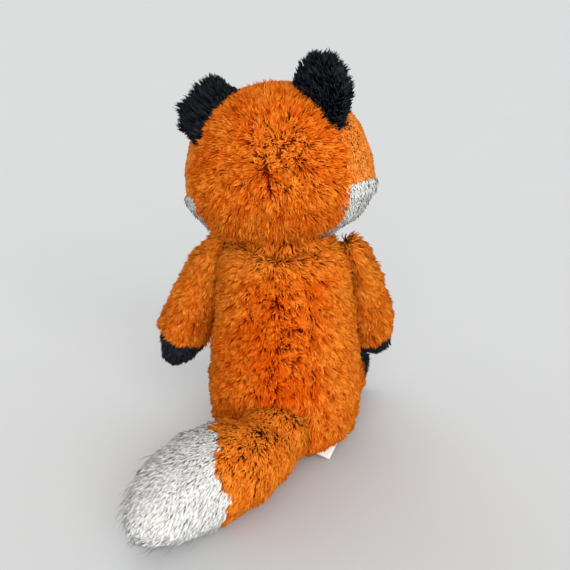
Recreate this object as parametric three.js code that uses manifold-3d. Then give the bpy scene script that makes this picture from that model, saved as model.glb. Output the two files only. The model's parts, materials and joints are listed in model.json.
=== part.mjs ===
// A seated plush fox: sewn plush covers over fibre filling, with moulded eyes and nose.
// Millimetres, +Z up. The fox looks along -Y and its left side is +X. The origin is the
// middle of the flat patch that it sits on. It is posed as found: head tipped to its left,
// right arm forward, tail swept to its left.
import * as THREE from "three";
import { mergeVertices } from "three/addons/utils/BufferGeometryUtils.js";
import Module from "manifold-3d";

const wasm = await Module();
wasm.setup();

// Cloth and clearances
const pileThickness = 8; // long-pile plush, backing and pile together
const facePileThickness = 6; // the shorter pile of the muzzle
const seamGap = 0.3; // between pieces that touch
const weldDistance = 0.001; // corners closer than this are one corner
const overrun = 20; // how far a cutter runs past what it cuts

// Body
const torsoWidth = 130;
const torsoDepth = 106;
const torsoHeight = 192;
const settle = 0.5; // how deep the seat and the heels are pressed flat
const torsoBluntPower = 3;
const seatBluntPower = 4; // the seat is fuller than the shoulders
const torsoSwellShares = [1.0, 1.03, 0.99, 0.91, 0.87, 1.0];
const bellySeamSetback = 24; // belly seam in front of the body's middle
const seatPanelRadius = 27;

// Pellet pouch in the seat
const pouchWidth = 46;
const pouchDepth = 34;
const pouchHeight = 34;
const pouchSwellShares = [1.0, 1.0, 1.0];

// Neck
const neckRadius = 30;
const neckCrease = 3.5; // the head's underside above the neck's middle

// Head, measured from the neck's middle
const headWidth = 141;
const headDepth = 118;
const headHeight = 121;
const headDrop = 6; // how far the head's form reaches below the neck's middle
const headTilt = 7; // degrees, to the fox's left
const headNod = 6; // degrees, nose down
const headBluntPower = 2.2;
const headSwellShares = [1.1, 1.12, 1.03, 0.98, 0.96];
const cheekTop = 39; // cheek seam above the neck's middle
// The seam between face and back of the head, seen from the side: shares of half the head's
// depth, backwards, and of its height, upwards.
const faceSeamShares = [
  [0.1, 1.2],
  [0.26, 0.98],
  [0.44, 0.84],
  [0.54, 0.66],
  [0.63, 0.42],
  [0.64, 0.28],
  [0.5, 0.12],
  [0.25, -0.15],
];

// Muzzle and nose
const muzzleWidth = 50;
const muzzleHeight = 38;
const muzzleReach = 25; // in front of the head
const muzzleRoot = 34; // how far it runs back into the head
const muzzleLevel = 26; // above the neck's middle
const muzzleDip = 4; // its tip lies lower than its root
const muzzleSwellShares = [1.0, 1.0, 0.98, 0.84, 0.7];
const bridgeSeamLevel = 33; // seam between nose bridge and white muzzle, above the neck's middle
const noseWidth = 21;
const noseHeight = 15;
const noseDepth = 14;
const noseLift = 7; // above the muzzle's tip
const noseSwellShares = [1.0, 1.0, 0.9];
const shankRadius = 2.4;
const washerRadius = 7;
const washerThickness = 2;

// Eyes
const eyeSpacing = 56;
const eyeLevel = 53; // above the neck's middle
const eyeRadius = 7.5;
const eyeDome = 5;
const eyeRim = 1.2;

// Ears
const earSpacing = 80;
const earBase = 50;
const earHeight = 27; // above the head's crown
const earThickness = 10;
const earTipInset = 5; // how far the tip lies inwards of the base's middle
const earRoot = 7; // how deep the root sits in the seam
const earLean = { left: 58, right: 0 }; // degrees forward
const earFold = 15; // degrees that the seam lets it fold either way
const earLiningMargin = 8;
const earLiningThickness = 3;
const earBevel = 2.5;
const earShoulderShare = 0.72; // of its height, to which its sides rise before they round over
const earCrownShare = 0.9; // of half its base, which its crown runs flat either side of the tip

// Arms
const shoulderDrop = 26; // shoulder seams below the neck's middle
const shoulderHeading = 22; // degrees that the shoulder seams face forward
const armWidth = 39;
const armDepth = 46;
const armLength = 146;
const armRise = 24; // arm above the shoulder's middle
const shoulderStandoff = 1.2; // arm's middle line from the shoulder seam
const leftElbowStandoff = 24;
const rightElbowStandoff = 11;
const leftPawStandoff = 38;
const rightPawStandoff = 23;
const armSwing = { left: -2, right: 26 }; // degrees forward
const armSwellShares = [0.85, 0.96, 1.0, 1.08, 1.14, 0.96];
const pawLength = 37;
const armBluntPower = 2.6;

// Legs
const hipSpacing = 70;
const hipForward = 38;
const hipRadius = 25;
const legGirth = 48;
const legLength = 68;
const legSplay = 4; // degrees outwards
const legSwellShares = [0.96, 1.0, 0.98, 0.9, 0.84];
const footWidth = 46;
const footDepth = 36;
const footHeight = 62;
const footBluntPower = 2.5;
const footSwellShares = [0.98, 1.04, 1.02, 0.98, 0.9];
const footLean = 9; // toes lean forward over this length

// Tail
const tailRootHeight = 38;
const tailRootSetback = 50; // behind the body's middle
const tailRootRadius = 24;
const tailWidth = 68;
const tailThickness = 58;
// The tail's middle line, measured from its root: out to its left, back, and down.
const tailKneeOut = 9;
const tailKneeBack = 28;
const tailKneeDrop = 3;
const tailMiddleOut = 43;
const tailMiddleBack = 60;
const tailMiddleDrop = 7;
const tailEndOut = 70;
const tailEndBack = 124;
const tailEndDrop = 11;
const tailSwellShares = [0.86, 0.99, 1.04, 1.01, 0.92, 0.7];
const tailBluntPower = 2.4;
const tailTipShare = 0.41; // of the tail's length, where the white tip starts
const tailTipSlant = -23; // degrees

// Care label
const labelWidth = 18;
const labelLength = 25;
const labelThickness = 1.6;
const labelSlot = 0.5;
const labelRootHeight = 14;
const labelRootAside = 22; // to the right of the body's middle
const labelRootBehind = 15;
const labelHeading = 165; // degrees round from +X
const labelRoll = 30; // degrees, its rear edge lower
const labelDroop = 12; // degrees

const X = new THREE.Vector3(1, 0, 0);
const Y = new THREE.Vector3(0, 1, 0);
const Z = new THREE.Vector3(0, 0, 1);
const sides = { left: 1, right: -1 };
const radians = THREE.MathUtils.degToRad;
const at = (x, y, z) => new THREE.Vector3(x, y, z);

const longOrange = new THREE.MeshStandardMaterial({ color: 0xd9691a, roughness: 0.95 });
const shortOrange = new THREE.MeshStandardMaterial({ color: 0xd4702a, roughness: 0.9 });
const white = new THREE.MeshStandardMaterial({ color: 0xf1efe9, roughness: 0.95 });
const black = new THREE.MeshStandardMaterial({ color: 0x17181b, roughness: 0.9 });
const fibre = new THREE.MeshStandardMaterial({ color: 0xeceae4, roughness: 1 });
const canvas = new THREE.MeshStandardMaterial({ color: 0xd8cfbb, roughness: 0.9 });
const glossBlack = new THREE.MeshStandardMaterial({ color: 0x0b0b0c, roughness: 0.15 });
const clearPlastic = new THREE.MeshStandardMaterial({ color: 0xdedede, roughness: 0.4 });
const satin = new THREE.MeshStandardMaterial({ color: 0xf4f1ee, roughness: 0.5 });

// A three.js geometry as a closed solid.
function solid(geometry) {
  const bare = geometry.clone();
  bare.deleteAttribute("normal");
  bare.deleteAttribute("uv");
  const merged = mergeVertices(bare, weldDistance);
  const corners = [];
  for (let i = 0; i < merged.index.count; i += 3) {
    const [a, b, c] = [0, 1, 2].map((k) => merged.index.getX(i + k));
    if (a !== b && b !== c && c !== a) corners.push(a, b, c);
  }
  return new wasm.Manifold(
    new wasm.Mesh({
      numProp: 3,
      vertProperties: merged.attributes.position.array,
      triVerts: new Uint32Array(corners),
    }),
  );
}

function geometryOf(body) {
  const { numProp, numVert, vertProperties, triVerts } = body.getMesh();
  const places = new Float32Array(numVert * 3);
  for (let i = 0; i < numVert; i++) {
    places.set(vertProperties.subarray(i * numProp, i * numProp + 3), i * 3);
  }
  const geometry = new THREE.BufferGeometry();
  geometry.setAttribute("position", new THREE.BufferAttribute(places, 3));
  geometry.setIndex(new THREE.BufferAttribute(triVerts, 1));
  geometry.computeVertexNormals();
  return geometry;
}

function piece(name, body, material) {
  const mesh = new THREE.Mesh(geometryOf(body), material);
  mesh.name = name;
  return mesh;
}

function minus(body, ...cutters) {
  return cutters.reduce((left, cutter) => left.subtract(cutter), body);
}

// A stuffed bag: oval rings along a path, closed and blunt at both ends, that swells and
// tapers as its shares say. The rings lie closer together towards the ends. inset makes the
// same bag smaller all round, with fewer facets, or larger if it is negative.
const liningFacetShare = 0.5;
function stuffed(form, inset = 0) {
  const { path, width, depth, swellShares, across = X } = form;
  const detail = inset > 0 ? liningFacetShare : 1;
  const rings = Math.ceil(form.rings * detail);
  const around = 4 * Math.ceil((form.around * detail) / 4);
  const curve = new THREE.CatmullRomCurve3(path);
  const last = swellShares.length - 1;
  const swell = new THREE.SplineCurve(
    swellShares.map((share, i) => new THREE.Vector2(i / last, share)),
  );
  const trim = inset / curve.getLength();
  const places = [];
  const corners = [];
  for (let ring = 0; ring <= rings; ring++) {
    const share = eased(eased(ring / rings));
    const along = THREE.MathUtils.clamp(trim + (1 - 2 * trim) * share, 0, 1);
    const overshoot = trim + (1 - 2 * trim) * share - along;
    const tangent = curve.getTangentAt(along);
    const centre = curve.getPointAt(along).addScaledVector(tangent, overshoot * curve.getLength());
    const deep = new THREE.Vector3().crossVectors(tangent, across).normalize();
    const wide = new THREE.Vector3().crossVectors(deep, tangent);
    const reach = fullness(share, form) * swell.getPoint(share).y;
    for (let step = 0; step < around; step++) {
      const turn = (2 * Math.PI * step) / around;
      const place = centre
        .clone()
        .addScaledVector(wide, reach * (width / 2 - inset) * Math.cos(turn))
        .addScaledVector(deep, reach * (depth / 2 - inset) * Math.sin(turn));
      places.push(place.x, place.y, place.z);
    }
  }
  for (let ring = 0; ring < rings; ring++) {
    for (let step = 0; step < around; step++) {
      const a = ring * around + step;
      const b = ring * around + ((step + 1) % around);
      corners.push(a, b, a + around, b, b + around, a + around);
    }
  }
  const geometry = new THREE.BufferGeometry();
  geometry.setAttribute("position", new THREE.Float32BufferAttribute(places, 3));
  geometry.setIndex(corners);
  return solid(geometry);
}

function eased(share) {
  return (1 - Math.cos(Math.PI * share)) / 2;
}

// How full a blunt form is at a share of its length, from 0 at its ends to 1 in the middle.
function fullness(share, { blunt, startBlunt = blunt }) {
  const power = share < 0.5 ? startBlunt : blunt;
  return Math.pow(Math.max(0, 1 - Math.pow(Math.abs(2 * share - 1), power)), 1 / power);
}

const ballSlices = 20;
const ballBands = 10;
function ball(centre, radius, turn = 0) {
  const geometry = new THREE.SphereGeometry(radius, ballSlices, ballBands);
  geometry.rotateY(turn);
  geometry.translate(centre.x, centre.y, centre.z);
  return solid(geometry);
}

// The hollow that a ball turns in. Its facets stay clear of the ball's corners, and are turned
// by half a facet so that they lie close to them at rest.
function socket(centre, radius) {
  const halfFacet = Math.PI / ballSlices;
  const flats = Math.cos(halfFacet) * Math.cos(Math.PI / (2 * ballBands));
  return ball(centre, (radius + seamGap) / flats, halfFacet);
}

// A block as large as the whole toy, on one side of a plane.
const reachOfAll = torsoHeight + headHeight + armLength;
function beyond(point, normal) {
  const size = 2 * reachOfAll;
  const geometry = new THREE.BoxGeometry(size, size, size);
  geometry.translate(0, 0, size / 2);
  const turn = new THREE.Quaternion().setFromUnitVectors(Z, normal.clone().normalize());
  geometry.applyQuaternion(turn);
  geometry.translate(point.x, point.y, point.z);
  return solid(geometry);
}

// The two halves that a plane cuts a body into, half a seam gap from it on either side.
function halves(body, point, normal) {
  const away = normal.clone().normalize();
  const front = point.clone().addScaledVector(away, seamGap / 2);
  const back = point.clone().addScaledVector(away, -seamGap / 2);
  return [
    body.intersect(beyond(front, away)),
    body.intersect(beyond(back, away.clone().negate())),
  ];
}

const aboveFloor = beyond(at(0, 0, 0), Z);

// Turns an outline drawn in x and y, and extruded in z, to y and z, extruded in x.
const acrossX = new THREE.Matrix4().makeBasis(Y, Z, X);

// Body form and what follows its surface
const torsoForm = {
  path: [at(0, 0, -settle), at(0, 0, torsoHeight)],
  width: torsoWidth,
  depth: torsoDepth,
  blunt: torsoBluntPower,
  startBlunt: seatBluntPower,
  swellShares: torsoSwellShares,
  rings: 12,
  around: 24,
};

// Half the width of an upright form at a height.
function halfWidthAt(form, height) {
  const [foot, top] = form.path;
  const share = (height - foot.z) / (top.z - foot.z);
  const last = form.swellShares.length - 1;
  const swell = new THREE.SplineCurve(
    form.swellShares.map((value, i) => new THREE.Vector2(i / last, value)),
  );
  return (form.width / 2) * fullness(share, form) * swell.getPoint(share).y;
}

// Legs: a ball at the hip, a tapering shaft, and an upright foot
function legOf(side) {
  const sign = sides[side];
  const hip = at((sign * hipSpacing) / 2, -hipForward, hipRadius);
  const ahead = at(sign * Math.sin(radians(legSplay)), -Math.cos(radians(legSplay)), 0);
  const ankle = hip.clone().addScaledVector(ahead, legLength);
  const shaft = {
    path: [hip, ankle.clone().addScaledVector(ahead, footDepth / 2)],
    width: legGirth,
    depth: legGirth,
    blunt: footBluntPower,
    swellShares: legSwellShares,
    rings: 6,
    around: 16,
  };
  const heel = at(ankle.x, ankle.y, -settle);
  const toe = at(ankle.x, ankle.y, footHeight).addScaledVector(ahead, footLean);
  const foot = {
    path: [heel, toe],
    width: footWidth,
    depth: footDepth,
    blunt: footBluntPower,
    swellShares: footSwellShares,
    rings: 8,
    around: 16,
  };
  const limb = (inset) => stuffed(shaft, inset).add(ball(hip, hipRadius - inset));
  const shell = minus(limb(0), limb(pileThickness), stuffed(foot, -seamGap));
  const boot = minus(stuffed(foot), stuffed(foot, pileThickness), limb(pileThickness));
  const filling = limb(pileThickness + seamGap).add(stuffed(foot, pileThickness + seamGap));
  return {
    hip,
    pieces: [
      piece(`leg_${side}_cover`, shell.intersect(aboveFloor), longOrange),
      piece(`foot_${side}_cover`, boot.intersect(aboveFloor), black),
      piece(`leg_${side}_stuffing`, filling, fibre),
    ],
  };
}

// Tail: a ball at its root and a fat brush that lies along the ground
const tailRoot = at(0, tailRootSetback, tailRootHeight);
const tailForm = {
  path: [
    tailRoot,
    at(tailKneeOut, tailKneeBack, -tailKneeDrop).add(tailRoot),
    at(tailMiddleOut, tailMiddleBack, -tailMiddleDrop).add(tailRoot),
    at(tailEndOut, tailEndBack, -tailEndDrop).add(tailRoot),
  ],
  width: tailWidth,
  depth: tailThickness,
  blunt: tailBluntPower,
  swellShares: tailSwellShares,
  across: at(1, -1, 0).normalize(),
  rings: 12,
  around: 16,
};

function tailPieces() {
  const brush = (inset) => stuffed(tailForm, inset).add(ball(tailRoot, tailRootRadius - inset));
  const shell = brush(0).subtract(brush(pileThickness)).intersect(aboveFloor);
  const curve = new THREE.CatmullRomCurve3(tailForm.path);
  const heading = curve.getTangentAt(tailTipShare).applyAxisAngle(Z, radians(tailTipSlant));
  const [tip, cover] = halves(shell, curve.getPointAt(tailTipShare), heading);
  return [
    piece("tail_cover", cover, longOrange),
    piece("tail_tip", tip, white),
    piece("tail_stuffing", brush(pileThickness + seamGap), fibre),
  ];
}

// Care label: a folded satin loop sewn into the seat seam, blank
function labelBody(spare) {
  const outline = new THREE.Shape();
  const half = labelThickness / 2 + spare;
  outline.moveTo(-spare, -half);
  outline.lineTo(labelLength - half, -half);
  outline.absarc(labelLength - half, 0, half, -Math.PI / 2, Math.PI / 2);
  outline.lineTo(-spare, half);
  if (spare === 0) {
    outline.lineTo(0, labelSlot / 2);
    outline.lineTo(labelLength - labelThickness, labelSlot / 2);
    outline.lineTo(labelLength - labelThickness, -labelSlot / 2);
    outline.lineTo(0, -labelSlot / 2);
  }
  const depth = labelWidth + 2 * spare;
  const geometry = new THREE.ExtrudeGeometry(outline, {
    depth,
    bevelEnabled: false,
    curveSegments: 4,
  });
  geometry.translate(0, 0, -depth / 2);
  geometry.rotateX(Math.PI / 2 + radians(labelRoll));
  geometry.rotateY(radians(labelDroop));
  geometry.rotateZ(radians(labelHeading));
  geometry.translate(-labelRootAside, labelRootBehind, labelRootHeight);
  return solid(geometry);
}

// The body's covers, its filling, and the pouch of pellets that weights the seat
function torsoPieces(hips) {
  const shell = stuffed(torsoForm).subtract(stuffed(torsoForm, pileThickness));
  const sockets = [
    ...hips.map((hip) => socket(hip, hipRadius)),
    socket(tailRoot, tailRootRadius),
    socket(at(0, 0, torsoHeight), neckRadius),
  ];
  const covers = minus(shell, ...sockets, labelBody(seamGap)).intersect(aboveFloor);
  const seatDisc = (radius) => {
    const geometry = new THREE.CylinderGeometry(radius, radius, 2 * overrun, 24);
    geometry.rotateX(Math.PI / 2);
    return solid(geometry);
  };
  const base = covers.intersect(seatDisc(seatPanelRadius));
  const sewn = covers.subtract(seatDisc(seatPanelRadius + seamGap));
  const [back, belly] = halves(sewn, at(0, -bellySeamSetback, 0), Y);
  const [backLeft, backRight] = halves(back, at(0, 0, 0), X);
  const pouchFloor = pileThickness + seamGap - settle;
  const pouch = {
    path: [at(0, 0, pouchFloor), at(0, 0, pouchFloor + pouchHeight)],
    width: pouchWidth,
    depth: pouchDepth,
    blunt: torsoBluntPower,
    swellShares: pouchSwellShares,
    rings: 8,
    around: 16,
  };
  const lining = stuffed(torsoForm, pileThickness + seamGap);
  const filling = minus(
    lining,
    ...sockets,
    stuffed(pouch, -seamGap),
    labelBody(seamGap),
  );
  return [
    piece("torso_back_left", backLeft, longOrange),
    piece("torso_back_right", backRight, longOrange),
    piece("torso_belly", belly, white),
    piece("torso_base", base, longOrange),
    piece("torso_stuffing", filling, fibre),
    piece("pellet_pouch", stuffed(pouch).intersect(lining), canvas),
    piece("care_label", labelBody(0), satin),
  ];
}

// Arms: built at the shoulder, whose seam lies in the plane x = 0 and touches the body's side
function armOf(side, elbowStandoff, pawStandoff) {
  const sign = sides[side];
  const form = {
    path: [
      at(sign * shoulderStandoff, 0, armRise),
      at(sign * elbowStandoff, 0, armRise - armLength / 2),
      at(sign * pawStandoff, 0, armRise - armLength),
    ],
    width: armWidth,
    depth: armDepth,
    blunt: armBluntPower,
    swellShares: armSwellShares,
    rings: 10,
    around: 16,
  };
  const outward = at(sign, 0, 0);
  const outside = beyond(outward.clone().multiplyScalar(seamGap), outward);
  const shell = stuffed(form).subtract(stuffed(form, pileThickness)).intersect(outside);
  const [, elbow, end] = form.path;
  const down = end.clone().sub(elbow).normalize();
  const [paw, sleeve] = halves(shell, end.clone().addScaledVector(down, -pawLength), down);
  const filling = stuffed(form, pileThickness + seamGap).intersect(outside);
  const arm = new THREE.Group();
  arm.add(
    piece(`arm_${side}_cover`, sleeve, longOrange),
    piece(`paw_${side}_cover`, paw, black),
    piece(`arm_${side}_stuffing`, filling, fibre),
  );
  const { point, slope } = shoulderSeat();
  arm.position.set(sign * point.x, point.y, point.z);
  const turns = [-armSwing[side], -sign * slope, -sign * shoulderHeading].map(radians);
  arm.rotation.set(...turns, "ZYX");
  return arm;
}

// Where a shoulder seam touches the body on its left side, and how far that side leans back
// from upright there, in degrees.
function shoulderSeat() {
  const shoulderHeight = torsoHeight - shoulderDrop;
  const squash = torsoDepth / torsoWidth;
  const turn = Math.atan(Math.tan(radians(shoulderHeading)) * squash);
  const step = 1e-3 * torsoHeight;
  const [low, middle, high] = [-step, 0, step].map((rise) => {
    const halfWidth = halfWidthAt(torsoForm, shoulderHeight + rise);
    return at(halfWidth * Math.cos(turn), -halfWidth * squash * Math.sin(turn), shoulderHeight + rise);
  });
  const heading = at(1, 0, 0).applyAxisAngle(Z, -radians(shoulderHeading));
  const slope = Math.atan(low.clone().sub(high).dot(heading) / (2 * step));
  return { point: middle, slope: THREE.MathUtils.radToDeg(slope) };
}

// Head, built upright round the neck's middle
const headForm = {
  path: [at(0, 0, -headDrop), at(0, 0, headHeight - headDrop)],
  width: headWidth,
  depth: headDepth,
  blunt: headBluntPower,
  swellShares: headSwellShares,
  rings: 12,
  around: 24,
};

const muzzleForm = {
  path: [
    at(0, muzzleRoot - headDepth / 2, muzzleLevel),
    at(0, -headDepth / 2 - muzzleReach, muzzleLevel - muzzleDip),
  ],
  width: muzzleWidth,
  depth: muzzleHeight,
  blunt: headBluntPower,
  swellShares: muzzleSwellShares,
  rings: 10,
  around: 16,
};

// Where the head's surface lies in front at an offset from the middle and a level.
function faceAt(offset, level) {
  const halfWidth = halfWidthAt(headForm, level);
  const halfDepth = (halfWidth * headDepth) / headWidth;
  return at(offset, -halfDepth * Math.sqrt(1 - (offset / halfWidth) ** 2), level);
}

// The outward direction of the head's surface there.
function faceNormal(offset, level) {
  const step = 1e-3 * headHeight;
  const sideways = faceAt(offset + step, level).sub(faceAt(offset - step, level));
  const upwards = faceAt(offset, level + step).sub(faceAt(offset, level - step));
  return sideways.cross(upwards).normalize();
}

// A turned part: its outline revolved about the axis that leaves a point along a direction.
function turned(outline, point, direction) {
  const points = outline.map(([radius, height]) => new THREE.Vector2(radius, height));
  const geometry = new THREE.LatheGeometry(points, 12);
  geometry.applyQuaternion(new THREE.Quaternion().setFromUnitVectors(Y, direction));
  geometry.translate(point.x, point.y, point.z);
  return solid(geometry);
}

// An eye: a glossy dome with a shank that passes through the cover, and its lock washer
function eyeOf(side) {
  const offset = (sides[side] * eyeSpacing) / 2;
  const point = faceAt(offset, eyeLevel);
  const outward = faceNormal(offset, eyeLevel);
  const shank = pileThickness + 3 * washerThickness;
  const eye = (spare) => {
    const arc = [];
    const steps = 4;
    for (let i = 0; i <= steps; i++) {
      const angle = (Math.PI / 2) * (1 - i / steps);
      arc.push([(eyeRadius + spare) * Math.sin(angle), (eyeDome + spare) * Math.cos(angle)]);
    }
    arc[steps][0] = 0;
    return turned(
      [
        [0, -shank - spare],
        [shankRadius + spare, -shank - spare],
        [shankRadius + spare, -eyeRim - spare],
        [eyeRadius + spare, -eyeRim - spare],
        ...arc,
      ],
      point,
      outward,
    );
  };
  const washer = (spare) => {
    const inner = shankRadius + seamGap - spare;
    const low = -pileThickness - 2 * washerThickness - spare;
    const high = -pileThickness - washerThickness + spare;
    const outer = washerRadius + spare;
    return turned(
      [
        [inner, low],
        [outer, low],
        [outer, high],
        [inner, high],
        [inner, low],
      ],
      point,
      outward,
    );
  };
  return { eye, washer };
}

// The nose: a moulded button on the muzzle's tip, with its shank and washer
function noseParts() {
  const tip = muzzleForm.path[1];
  const back = -tip.y - noseDepth / 2;
  const form = {
    path: [at(0, -back, tip.z + noseLift), at(0, -back - noseDepth, tip.z + noseLift)],
    width: noseWidth,
    depth: noseHeight,
    blunt: headBluntPower,
    swellShares: noseSwellShares,
    rings: 8,
    around: 16,
  };
  const root = at(0, -back - noseDepth / 2, tip.z + noseLift);
  const length = noseDepth / 2 + facePileThickness + 3 * washerThickness;
  const nose = (spare) => {
    const shank = new THREE.CylinderGeometry(shankRadius + spare, shankRadius + spare, length, 12);
    shank.translate(root.x, root.y + length / 2 + spare, root.z);
    return stuffed(form, -spare).add(solid(shank));
  };
  const washer = (spare) => {
    const inner = shankRadius + seamGap - spare;
    const low = length - 2 * washerThickness - spare;
    const high = length - washerThickness + spare;
    const outer = washerRadius + spare;
    return turned(
      [
        [inner, low],
        [outer, low],
        [outer, high],
        [inner, high],
        [inner, low],
      ],
      root,
      Y,
    );
  };
  return { nose, washer };
}

// The face seam, seen from the side: x runs backwards and y upwards.
const faceSeam = new THREE.SplineCurve(
  faceSeamShares.map(
    ([back, up]) => new THREE.Vector2((back * headDepth) / 2, up * headHeight - headDrop),
  ),
);

// All that lies behind the face seam, or behind the same seam moved back by a shift.
function behindFaceSeam(shift) {
  const outline = new THREE.Shape(faceSeam.getPoints(10));
  outline.lineTo(headDepth, -headHeight);
  outline.lineTo(headDepth, 2 * headHeight);
  const geometry = new THREE.ExtrudeGeometry(outline, { depth: 2 * headWidth, bevelEnabled: false });
  geometry.translate(shift, 0, -headWidth);
  geometry.applyMatrix4(acrossX);
  return solid(geometry);
}

// Where the face seam crosses the head's upper surface at an offset from the middle.
function crownAt(offset) {
  let high = 0;
  let low = 0.5;
  for (let i = 0; i < 40; i++) {
    const middle = (low + high) / 2;
    const { x: back, y: level } = faceSeam.getPoint(middle);
    const halfWidth = halfWidthAt(headForm, level);
    const halfDepth = (halfWidth * headDepth) / headWidth;
    if ((offset / halfWidth) ** 2 + (back / halfDepth) ** 2 < 1) low = middle;
    else high = middle;
  }
  const { x: back, y: level } = faceSeam.getPoint(low);
  return at(offset, back, level);
}

// The place of an ear's hinge line in the head, which every ear piece is built round: its x
// runs along the seam, towards the fox's left.
function earPlace(side) {
  const sign = sides[side];
  const step = 1e-2 * earSpacing;
  const ends = [-step, step].map((move) => crownAt((sign * earSpacing) / 2 + move));
  const along = ends[1].clone().sub(ends[0]).normalize();
  const upright = Z.clone().addScaledVector(along, -Z.dot(along)).normalize();
  const place = new THREE.Group();
  place.position.copy(crownAt((sign * earSpacing) / 2)).addScaledVector(upright, -earRoot);
  const axes = [along, upright.clone().cross(along), upright];
  place.quaternion.setFromRotationMatrix(new THREE.Matrix4().makeBasis(...axes));
  place.rotateX(radians(earLean[side]));
  place.updateMatrix();
  return place;
}

// An ear's outline seen from behind, with its hinge line along the base.
function earOutline(sign, margin) {
  const half = earBase / 2 - margin;
  const tip = earRoot + earHeight - margin;
  const lean = -sign * earTipInset;
  const shoulder = tip * earShoulderShare;
  const crown = half * earCrownShare;
  const shape = new THREE.Shape();
  shape.moveTo(-half, margin);
  shape.bezierCurveTo(-half, shoulder, lean - crown, tip, lean, tip);
  shape.bezierCurveTo(lean + crown, tip, half, shoulder, half, margin);
  return shape;
}

// An ear: a black plush back that wraps a short-pile lining, and a round root in the seam
function earPieces(side) {
  const sign = sides[side];
  const core = earThickness - 2 * earBevel;
  const blade = new THREE.ExtrudeGeometry(earOutline(sign, earBevel), {
    depth: core,
    bevelThickness: earBevel,
    bevelSize: earBevel,
    bevelSegments: 2,
    curveSegments: 6,
  });
  blade.rotateX(Math.PI / 2);
  blade.translate(0, core / 2, 0);
  const root = new THREE.CylinderGeometry(earThickness / 2, earThickness / 2, earBase, 12);
  root.rotateZ(Math.PI / 2);
  const linen = (spare) => {
    const geometry = new THREE.ExtrudeGeometry(earOutline(sign, earLiningMargin - spare), {
      depth: earLiningThickness + 2 * spare,
      bevelEnabled: false,
      curveSegments: 6,
    });
    geometry.rotateX(Math.PI / 2);
    geometry.translate(0, -earThickness / 2 + earLiningThickness + spare, 0);
    return solid(geometry);
  };
  const ear = earPlace(side);
  ear.add(
    piece(`ear_${side}_cover`, solid(blade).add(solid(root)).subtract(linen(seamGap)), black),
    piece(`ear_${side}_lining`, linen(0), white),
  );
  return ear;
}

// The room that an ear's root and its fold need in the head's seam.
function earNotch(side) {
  const half = (earThickness / 2 + 2 * seamGap) / Math.cos(radians(earFold));
  const top = earRoot + overrun;
  const flare = half + top * Math.tan(radians(earFold));
  const outline = new THREE.Shape();
  outline.moveTo(-half, 0);
  outline.absarc(0, 0, half, Math.PI, 2 * Math.PI);
  outline.lineTo(flare, top);
  outline.lineTo(-flare, top);
  const length = earBase + 4 * seamGap;
  const geometry = new THREE.ExtrudeGeometry(outline, {
    depth: length,
    bevelEnabled: false,
    curveSegments: 6,
  });
  geometry.translate(0, 0, -length / 2);
  geometry.applyMatrix4(acrossX);
  geometry.applyMatrix4(earPlace(side).matrix);
  return solid(geometry);
}

// The head's covers, filling, muzzle, eyes and nose
function headGroup() {
  const shell = stuffed(headForm).subtract(stuffed(headForm, pileThickness));
  const head = new THREE.Group();
  head.position.set(0, 0, torsoHeight);
  head.rotation.set(radians(headNod), radians(headTilt), 0);
  const plumb = Z.clone().applyQuaternion(head.quaternion.clone().invert());
  const underside = beyond(plumb.clone().multiplyScalar(neckCrease), plumb);
  const neckCup = socket(at(0, 0, 0), neckRadius);
  const eyes = Object.keys(sides).map((side) => ({ side, ...eyeOf(side) }));
  const { nose, washer: noseWasher } = noseParts();
  const notches = Object.keys(sides).map(earNotch);
  const fittings = (spare) => [
    ...eyes.flatMap(({ eye, washer }) => [eye(spare), washer(spare)]),
    nose(spare),
    noseWasher(spare),
  ];
  const around = [neckCup, ...notches, ...fittings(seamGap)];
  const covers = minus(shell, ...around, stuffed(muzzleForm, facePileThickness)).intersect(underside);
  const back = covers.intersect(behindFaceSeam(seamGap / 2));
  const front = covers.subtract(behindFaceSeam(-seamGap / 2));
  const [backLeft, backRight] = halves(back, at(0, 0, 0), X);
  const [face, cheeks] = halves(front, at(0, 0, cheekTop), Z);
  const [cheekLeft, cheekRight] = halves(cheeks, at(0, 0, 0), X);
  const snout = minus(
    stuffed(muzzleForm),
    stuffed(muzzleForm, facePileThickness),
    stuffed(headForm, -seamGap),
    ...fittings(seamGap),
  );
  const [bridge, muzzle] = halves(snout, at(0, 0, bridgeSeamLevel), Z);
  const filling = minus(
    stuffed(headForm, pileThickness + seamGap).add(
      stuffed(muzzleForm, facePileThickness + seamGap),
    ),
    ...around,
  ).intersect(underside);
  head.add(
    piece("head_back_left", backLeft, longOrange),
    piece("head_back_right", backRight, longOrange),
    piece("head_face", face, shortOrange),
    piece("cheek_left", cheekLeft, white),
    piece("cheek_right", cheekRight, white),
    piece("nose_bridge", bridge, shortOrange),
    piece("muzzle", muzzle, white),
    piece("head_stuffing", filling, fibre),
    piece("nose", nose(0), glossBlack),
    piece("nose_washer", noseWasher(0), clearPlastic),
    ...eyes.flatMap(({ side, eye, washer }) => [
      piece(`eye_${side}`, eye(0), glossBlack),
      piece(`eye_${side}_washer`, washer(0), clearPlastic),
    ]),
    earPieces("left"),
    earPieces("right"),
  );
  return head;
}

const legs = Object.keys(sides).map(legOf);
const fox = new THREE.Group();
fox.add(
  ...torsoPieces(legs.map(({ hip }) => hip)),
  ...legs.flatMap(({ pieces }) => pieces),
  ...tailPieces(),
  armOf("left", leftElbowStandoff, leftPawStandoff),
  armOf("right", rightElbowStandoff, rightPawStandoff),
  piece("neck_roll", ball(at(0, 0, torsoHeight), neckRadius), shortOrange),
  headGroup(),
);

export default fox;
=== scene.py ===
# The looks of a seated plush fox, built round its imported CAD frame. Metres, +Z up, and the
# fox looks along -Y. Every furred panel is a backing cloth with its own tufts of pile.
import json
import math

import bmesh
import bpy
import numpy as np
from mathutils import Matrix, Vector, bvhtree, kdtree, noise

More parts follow.
